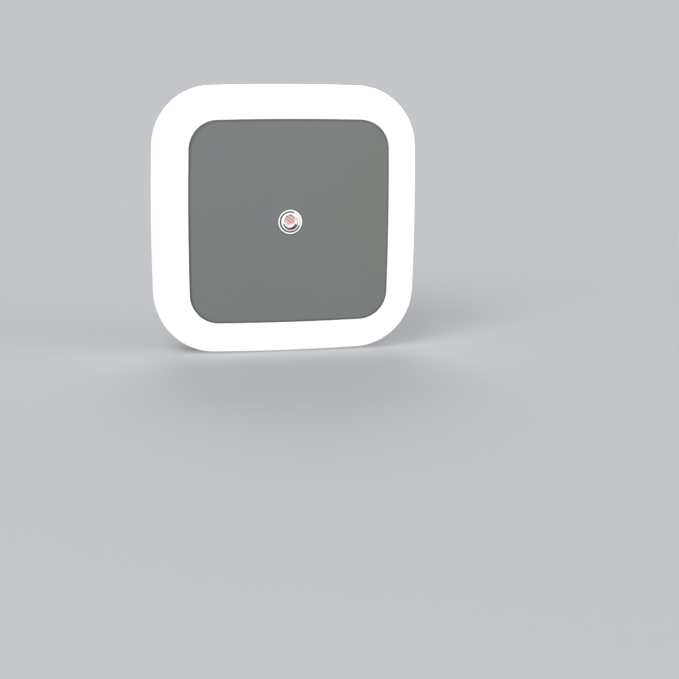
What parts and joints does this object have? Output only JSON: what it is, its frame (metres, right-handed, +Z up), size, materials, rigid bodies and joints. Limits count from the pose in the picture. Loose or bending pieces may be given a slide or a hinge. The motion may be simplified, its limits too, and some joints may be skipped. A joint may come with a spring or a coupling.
{
  "type": "plug in night light",
  "caption": "Square plug-in night light: a glowing white ring round an opaque grey panel with a light sensor, on a shallow housing with flat plug blades.",
  "frame": {"origin": "on the plug face, midway between the two blades", "axes": "+Y out of the plug face along the blades, into the outlet; +Z up; the glowing front faces -Y"},
  "size_m": [0.068, 0.038, 0.068],
  "materials": {
    "housing_plastic": "moulded white, light gloss",
    "diffuser_plastic": "milky translucent moulding, lit evenly from inside",
    "panel_plastic": "mid-grey moulding with a very fine matte texture",
    "lens_plastic": "clear, polished",
    "black_plastic": "black, matte",
    "sensor_ceramic": "fired, unglazed",
    "electrode_metal": "thin evaporated metal film",
    "sensor_track": "reddish light-sensitive film",
    "tinned_copper": "tinned, bright",
    "plated_brass": "nickel-plated, fine stamping marks",
    "retainer_plastic": "natural moulding",
    "zinc_steel": "zinc-plated",
    "board_mask": "white solder mask on glass epoxy",
    "led_body": "white moulded package",
    "led_phosphor": "yellow phosphor gel",
    "film_capacitor_case": "brown dipped epoxy",
    "can_aluminium": "drawn can",
    "capacitor_sleeve": "dark shrink sleeve",
    "bung_rubber": "matte",
    "resistor_coating": "grey-green flameproof coating",
    "zener_glass": "orange-tinted glass body",
    "black_epoxy": "moulded epoxy",
    "chip_body": "black overglaze on ceramic",
    "bare_copper": "stranded copper, shown solid",
    "white_insulation": "flexible insulation",
    "black_insulation": "flexible insulation",
    "solder": "bright solder"
  },
  "bodies": {
    "root": {"rear_housing": "housing_plastic", "diffuser": "diffuser_plastic", "front_panel": "panel_plastic", "sensor_lens": "lens_plastic", "sensor_sleeve": "black_plastic", "photocell_disc": "sensor_ceramic", "photocell_electrodes": "electrode_metal", "photocell_track": "sensor_track", "photocell_leads": "tinned_copper", "neutral_blade": "plated_brass", "live_blade": "plated_brass", "blade_retainer": "retainer_plastic", "retainer_screws": "zinc_steel", "board_screws": "zinc_steel", "led_board": "board_mask", "led_packages": "led_body", "led_phosphors": "led_phosphor", "dropper_capacitor": "film_capacitor_case", "dropper_leads": "tinned_copper", "filter_capacitor_can": "can_aluminium", "filter_capacitor_sleeve": "capacitor_sleeve", "filter_capacitor_bung": "bung_rubber", "filter_capacitor_leads": "tinned_copper", "fusible_resistor": "resistor_coating", "fusible_resistor_leads": "tinned_copper", "zener_diode": "zener_glass", "zener_diode_leads": "tinned_copper", "bridge_rectifier": "black_epoxy", "rectifier_pins": "tinned_copper", "transistor": "black_epoxy", "transistor_legs": "tinned_copper", "chip_resistors": "chip_body", "chip_resistor_caps": "tinned_copper", "neutral_wire_core": "bare_copper", "live_wire_core": "bare_copper", "neutral_wire_jacket": "white_insulation", "live_wire_jacket": "black_insulation", "solder_joints": "solder"}
  },
  "joints": []
}
